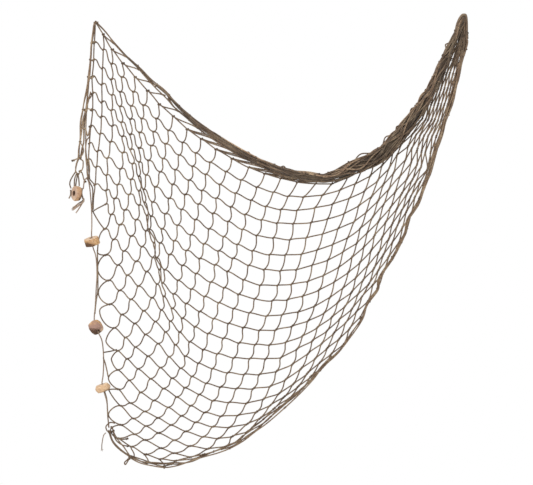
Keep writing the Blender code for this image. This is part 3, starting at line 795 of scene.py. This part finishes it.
def wandering(path, half_width, count, rng, waves, squeeze=0.8):
    """Strands that wander through a bundle: a strand's offset is a smooth random curve in the
    section, pressed into the unit disc."""
    across, deep = (smooth_noise(rng, count, len(path), waves) + rng.normal(size=(count, 1)) * 0.75
                    for _ in range(2))
    spread = np.sqrt(across ** 2 + deep ** 2)
    press = np.tanh(spread * 0.95) / np.maximum(spread, 1e-6)
    reach = np.maximum(half_width[:, 0] - TWINE_RADIUS * MM * 0.9, 0.4 * MM) * press
    return beside(path, across * reach, deep * reach * squeeze)


def surface_strands(path, half_width, count, rng, waves, squeeze=0.95):
    """Strands that wander over the surface of a bundle, and painted light and shade on them there:
    each keeps near one angle of the section, and sways round it and in and out by smooth random
    curves.
    The painted shading is darker where a strand lies deeper in the bundle and on the bundle's lower
    side, and lighter on its upper side."""
    angle = 2 * math.pi * (np.arange(count) * GOLDEN + rng.uniform(0, 0.3, count))[:, None]
    angle = angle + 0.9 * smooth_noise(rng, count, len(path), waves)
    share = 0.88 + 0.17 * smooth_noise(rng, count, len(path), waves + 8)
    reach = np.maximum(half_width[:, 0] - TWINE_RADIUS * MM * 0.7, 0.5 * MM) * share
    # Painted light and shade: darker where the strand sinks into the bundle, lighter on the upper
    # side of the section and darker on the lower.
    light = np.clip(share, 0.62, 1.1) ** 2.2 * (0.88 + 0.22 * np.cos(angle))
    return beside(path, np.cos(angle) * reach, np.sin(angle) * reach * squeeze), light


def build_swag():
    """The gathered top of the net: a core of hidden strands, darkened along the swag as painted
    shade inside the bundle, strands on its surface that join one by one from the left, with painted
    light and shade on them, their knots, and loops that stand out of the bundle."""
    rng = np.random.default_rng(SEED + 10)
    path, half_width = table_path(SWAG, SWAG_STEPS)
    place = np.linspace(0, 1, SWAG_STEPS)
    core = half_width[:, 0] / MM * change(place, *CORE_SHARE) + 0.3
    ridged = path + DEPTH * (0.6 * MM * np.sin(place * 150))[:, None]
    # Painted shade: the core's tone falls from 0.75 to 0.36 from the thin left part to the thick
    # middle.
    shadow = change(place, *CORE_PAINTED_SHADE)
    add_piece("swag_core", sweep(ridged[None], core[None], 14, shadow[None], pitch=60.0, plies=16))
    shares, counts = np.array(SWAG_COUNTS, float).T
    most = int(counts[-1])
    order = np.arange(most) + 0.5
    starts = np.interp(order, counts, shares)
    starts = np.clip(starts + rng.normal(size=most) * 0.015, 0, 0.93)
    starts[:2] = 0
    ends = 1.0 - np.abs(rng.normal(size=most)) * 0.10 * (order > SWAG_THROUGH)
    ends = np.clip(ends, starts + 0.12, 1.0)
    strands, light = surface_strands(path, half_width, most, rng, SWAG_WAVES)
    read = shorten(np.concatenate([strands, light[..., None]], -1), starts, ends)
    strands, light = read[..., :3], read[..., 3]
    dye = np.clip(rng.normal(1.22, 0.26, most), 0.7, 1.75)[:, None]
    # The strands' tones carry the painted light and shade from surface_strands.
    tones = dye * light * (1 + 0.12 * smooth_noise(rng, most, SWAG_STEPS, 20))
    tones = tones * change(place, *SWAG_TONE)
    add_piece("swag_strands", sweep(strands, TWINE_RADIUS, 6, tones))
    picks = []
    for strand in strands:
        count = max(1, int(path_length(strand) / SWAG_KNOT_GAP))
        picks.append(strand[(np.linspace(0.12, 0.97, count) * (SWAG_STEPS - 1)).astype(int)])
    places = np.concatenate(picks)
    along = unit(np.array([1.0, 0.0, -0.2]) + rng.normal(size=places.shape) * 0.4)
    add_piece("swag_knots", knots(places, along, 0.75, 0.75, 0.12, sides=4))
    across = section_across(path)
    edge = path + across * half_width * 0.8
    loops = []
    for start, end, reach in SWAG_LOOPS:
        t = np.linspace(start, end, 16)
        lift = reach * MM * np.sin(np.linspace(0, math.pi, 16)) ** 1.5
        loops.append(read_at(t, place, edge) + read_at(t, place, across) * lift[:, None])
    add_piece("swag_loops", sweep(loops, TWINE_RADIUS, 6, 0.95))


def build_tip():
    """Twine turned over the right hanging point, in nested arches from the swag to the gathered
    corner: across by the root of cos t and up by the root of sin t."""
    rng = np.random.default_rng(SEED + 15)
    t = np.linspace(0, math.pi, 28)
    lean = TIP_LEAN * (1 - np.sin(t)) * (np.cos(t) > 0)
    arches = []
    for inner in np.arange(TIP_ARCHES) / TIP_ARCHES:
        width = TIP_WIDTH * (1 - 0.97 * inner)
        height = (TIP_FOOT - TIP_TOP) * (1 - 0.25 * inner)
        x = TIP_MIDDLE + lean - width * np.sign(np.cos(t)) * np.abs(np.cos(t)) ** 0.5
        y = rng.uniform(-6, 3) - 2 * np.cos(t)
        z = -TIP_FOOT + height * np.sin(t) ** 0.5
        arches.append(np.stack([x, y, z], -1) * MM)
    add_piece("hanging_tip", twine(arches, 0.95, 0.15, seed=16))


def build_hem():
    """The hem along the lower edge: a ribbon of strands beside the swag, loose doubled twine down
    the right side and under the bottom. Its depth follows the netting's edge."""
    rng = np.random.default_rng(SEED + 20)
    edge, half_width = table_path([(across, down, 0.0, half) for across, down, half in HEM],
                                  HEM_STEPS)
    u = np.linspace(APEX_U + 1, HEM_V - 2 * LAST_ROW - 4, 200)
    row = np.minimum((HEM_V - u) / 2, LAST_ROW)
    lattice = net_point(row, row + u)
    nearest = ((edge[:, None, ::2] - lattice[None, :, ::2]) ** 2).sum(-1).argmin(1)
    padded = np.pad(lattice[nearest, 1], HEM_SMOOTHING // 2, "edge")
    depth = np.convolve(padded, np.ones(HEM_SMOOTHING) / HEM_SMOOTHING, "valid")
    inward = unit(np.cross(DEPTH, np.gradient(edge, axis=0)))
    path = edge + inward * (0.62 * half_width - 0.6 * MM)
    path[:, 1] = depth - 1.5 * MM
    strands = shorten(wandering(path, half_width, len(HEM_STRANDS), rng, HEM_WAVES),
                      *np.array(HEM_STRANDS).T)
    places = np.concatenate([strand[7 * k + 4::HEM_KNOT_GAP]
                             for k, strand in enumerate(strands[:3])])
    along = unit(np.array([0.75, 0.0, 0.6]) + rng.normal(size=places.shape) * 0.3)
    add_piece("hem", twine(strands, 1.18, 0.14, seed=21), knots(places, along, 0.72))


def strand_paths(table, outs):
    """Smooth strands through rows of (across, down) places, at a depth in millimetres for each."""
    return np.array([table_path([(x, down, out) for x, down in row], 40)[0]
                     for row, out in zip(table, outs)])


def build_strands(name, table, out, doubled=0, ends_knotted=True, tone=1.0):
    """Loose strands of a table, near one depth, the first few of them doubled by a second strand
    that wanders beside them, with a knot at most of their ends."""
    rng = np.random.default_rng(SEED + len(name))
    paths = strand_paths(table, out + rng.uniform(-3, 3, len(table)))
    swept = [twine(paths, tone, 0.14)]
    if doubled:
        sway = np.stack([smooth_noise(rng, doubled, paths.shape[1], 7) for _ in range(3)], -1)
        second = paths[:doubled] + (sway * (3.0, 3.0, 1.0) + (1.5, 2.0, 0.0)) * MM
        swept.append(twine(second, tone, 0.14, seed=9))
    if ends_knotted:
        places = np.concatenate([paths[:, -1], paths[len(paths) // 2:, 0]])
        along = unit(rng.normal(size=places.shape) * 0.3 + (1.0, 0.0, 0.2))
        swept.append(knots(places, along, 0.9))
    add_piece(name, *swept)


def build_cords():
    """The float line, the loose end at the bottom left and the tail under the fourth float, each a
    swept cord of washed twine in place of the CAD's plain one, which is hidden."""
    for name, table, radius, steps, far_end, slot in CORDS:
        path, _ = table_path(table, steps)
        item = add_piece(name + "_twine", sweep(path[None], radius, 10, 1.0, pitch=4.5 * radius),
                         material=LINE_TWINE, slot=slot)
        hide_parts(name)


def build_frays():
    """Frayed plies at the tail under the fourth float and at the loose corner end."""
    rng = np.random.default_rng(SEED + 60)
    t = np.linspace(0, 1, 10)[:, None]
    paths = []
    for table, count, reach in FRAYS:
        whole, _ = table_path(table, 40)
        tip, ahead = whole[-1], unit(whole[-1] - whole[-6])
        for _ in range(count):
            aim = unit(ahead + rng.normal(size=3) * 0.38)
            bend = rng.normal(size=3) * 0.35
            way = (aim * t + bend * t * t * 0.5) * reach * rng.uniform(0.6, 1.1)
            paths.append(tip + (way - ahead * 4) * MM)
    loose = strand_paths(TAIL_PLIES, TAIL_PLIES_OUT)
    tones = strand_tones(len(loose), 1.1, 0.1, seed=61)
    for name, swept in (("tail_plies", sweep(loose, PLY_RADIUS, 6, tones)),
                        ("frays", sweep(paths, FRAY_RADIUS, 5, 1.05, plies=1))):
        add_piece(name, swept, material=LINE_TWINE, slot="tie_twine")


def ripple(points, size, reach, seed):
    """Rough displacement: a sum of sine waves in random directions with about the given
    wavelength."""
    rng = np.random.default_rng(seed)
    total, waves = np.zeros(len(points)), 14
    for _ in range(waves):
        direction = unit(rng.normal(size=3)) * 2 * math.pi / (size * rng.uniform(0.5, 1.6))
        total += np.sin(points @ direction + rng.uniform(0, 6.28))
    return total * reach / waves ** 0.5


def float_profile(half_width, half_height, bulge, bore_radius):
    """The closed section of a bored cork as (radius, height) rows: top, rounded edge, side that
    bulges by a parabola, rounded edge, underside and bore."""
    foot = half_width * (1 - bulge)
    shoulder = half_height - EDGE_ROUNDING
    turn = np.linspace(math.pi / 2, 0, 6)
    heights = np.linspace(shoulder, -shoulder, 14)
    flat = np.linspace(bore_radius, foot - EDGE_ROUNDING, 7)
    top = np.stack([flat, np.full(7, half_height)], -1)
    corner = np.stack([np.cos(turn), np.sin(turn)], -1) * EDGE_ROUNDING + (flat[-1], shoulder)
    side = np.stack([half_width * (1 - bulge * (heights / shoulder) ** 2), heights], -1)
    bore = np.stack([np.full(5, bore_radius), np.linspace(-half_height, half_height, 7)[1:-1]], -1)
    under = (1, -1)
    return np.concatenate([top[:-1], corner[:-1], side, corner[::-1][1:] * under,
                           top[::-1][1:] * under, bore])


def build_float(name, seed):
    """A bored cork with roughly cut sides: its profile turned about the bore, a little out of
    round, and its surface moved by ripples, apart from the bore's."""
    centre, axis, half_width, half_height, bulge, bore_radius, bark_and_shade, stain, pale = FLOATS[name]
    profile = float_profile(half_width, half_height, bulge, bore_radius)
    angle = 2 * math.pi * np.arange(CORK_SIDES)[:, None] / CORK_SIDES
    radius = profile[:, 0] * (1 + 0.02 * np.sin(2 * angle + seed) + 0.015 * np.sin(5 * angle))
    local = np.stack([radius * np.cos(angle), radius * np.sin(angle),
                      np.broadcast_to(profile[:, 1], radius.shape)], -1).reshape(-1, 3) * MM
    bored = np.tile(profile[:, 0] <= bore_radius + 0.1, CORK_SIDES)
    rough = sum(ripple(local, size * MM, reach * MM, seed + step)
                for size, reach, step in CORK_RIPPLES)
    local = local + unit(local * (1.0, 1.0, 0.6)) * np.where(bored, 0.0, rough)[:, None]
    forward = unit(np.array(axis, float))
    sideways = unit(np.cross(forward, UP if abs(forward[2]) < 0.9 else DEPTH))
    turned = local @ np.stack([sideways, np.cross(forward, sideways), forward])
    world = turned + np.array([centre[0], centre[2], -centre[1]]) * MM
    index = np.arange(len(world)).reshape(CORK_SIDES, -1)
    following, after = np.roll(index, -1, axis=0), np.roll(index, -1, axis=1)
    faces = np.stack([index, after, np.roll(following, -1, axis=1), following], -1)
    piece = name + "_cork"
    mesh = bpy.data.meshes.new(piece)
    mesh.from_pydata(world.tolist(), [], faces.reshape(-1, 4).tolist())
    # Painted shade and bark: the side facing the given direction, below and away from the light,
    # gets the dark bark colour, and the whole bore (tone 1.5) gets it as painted shade.
    facing = unit(world - world.mean(0)) @ unit(np.array(bark_and_shade, float))
    ends = smoothstep(half_height - 1.2, half_height - 0.2, np.abs(profile[:, 1]))
    item = add_part(piece, mesh, CORK, "cork", tone=np.where(bored, 1.5, facing * 0.9),
                    pale=np.maximum(np.tile(ends, CORK_SIDES), pale),
                    stain=np.full(len(world), stain))
    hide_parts(name)


def build_camera():
    """A camera straight in front, at the photograph's framing."""
    photo_width, photo_height = 533, 485
    mm_a_pixel = 2.4
    hang_x, hang_y = 463, 14        # the right hanging point in the photograph
    distance = 5.0
    camera = bpy.data.cameras.new("camera")
    camera.sensor_width = 36.0
    camera.lens = camera.sensor_width * distance / (photo_width * mm_a_pixel * MM)
    item = add_object("camera", camera)
    item.location = ((photo_width / 2 - hang_x) * mm_a_pixel * MM, -distance,
                     (hang_y - photo_height / 2) * mm_a_pixel * MM)
    item.rotation_euler = (math.pi / 2, 0, 0)
    bpy.context.scene.camera = item


def build_studio():
    """A white surround, one large soft light from the upper left and a pale floor."""
    bpy.context.scene.view_settings.view_transform = "Standard"
    world = bpy.data.worlds.new("studio")
    bpy.context.scene.world = world
    world.use_nodes = True
    surround = world.node_tree.nodes["Background"]
    surround.inputs["Color"].default_value = (1.0, 1.0, 1.0, 1.0)
    light = bpy.data.lights.new("key", "AREA")
    light.shape = "DISK"
    light.size = 1.6
    light.energy = 60.0
    item = add_object("key", light)
    item.location = (-1.8, -2.6, 1.2)
    item.rotation_euler = (math.radians(62), 0, math.radians(-32))
    mesh = bpy.data.meshes.new("floor")
    low, high, near, far, level = -2.5, 1.5, -2.5, 1.0, -1.3
    corners = [(low, near, level), (high, near, level), (high, far, level), (low, far, level)]
    mesh.from_pydata(corners, [], [(0, 1, 2, 3)])
    material, _, shader = start_material("matt white paint", 0.9)
    shader.inputs["Base Color"].default_value = linear("#f2f0ec")
    mesh.materials.append(material)
    add_object("floor", mesh)


build_field()
build_joins()
build_selvedge()
build_swag()
build_hem()
build_tip()
build_strands("flap", FLAP_STRANDS, -5, doubled=2, tone=1.42)
build_strands("fan", FAN_STRANDS, -9, ends_knotted=False)
build_strands("corner", CORNER_STRANDS, -4)
# The gathered strands are drawn darker (tone 0.8) as painted shade, where they lie behind the swag
# and the hem.
build_strands("gathered", GATHERED_STRANDS, 0, ends_knotted=False, tone=0.8)
build_cords()
for number, float_name in enumerate(FLOATS):
    build_float(float_name, SEED + 30 + number)
build_frays()
build_camera()
build_studio()
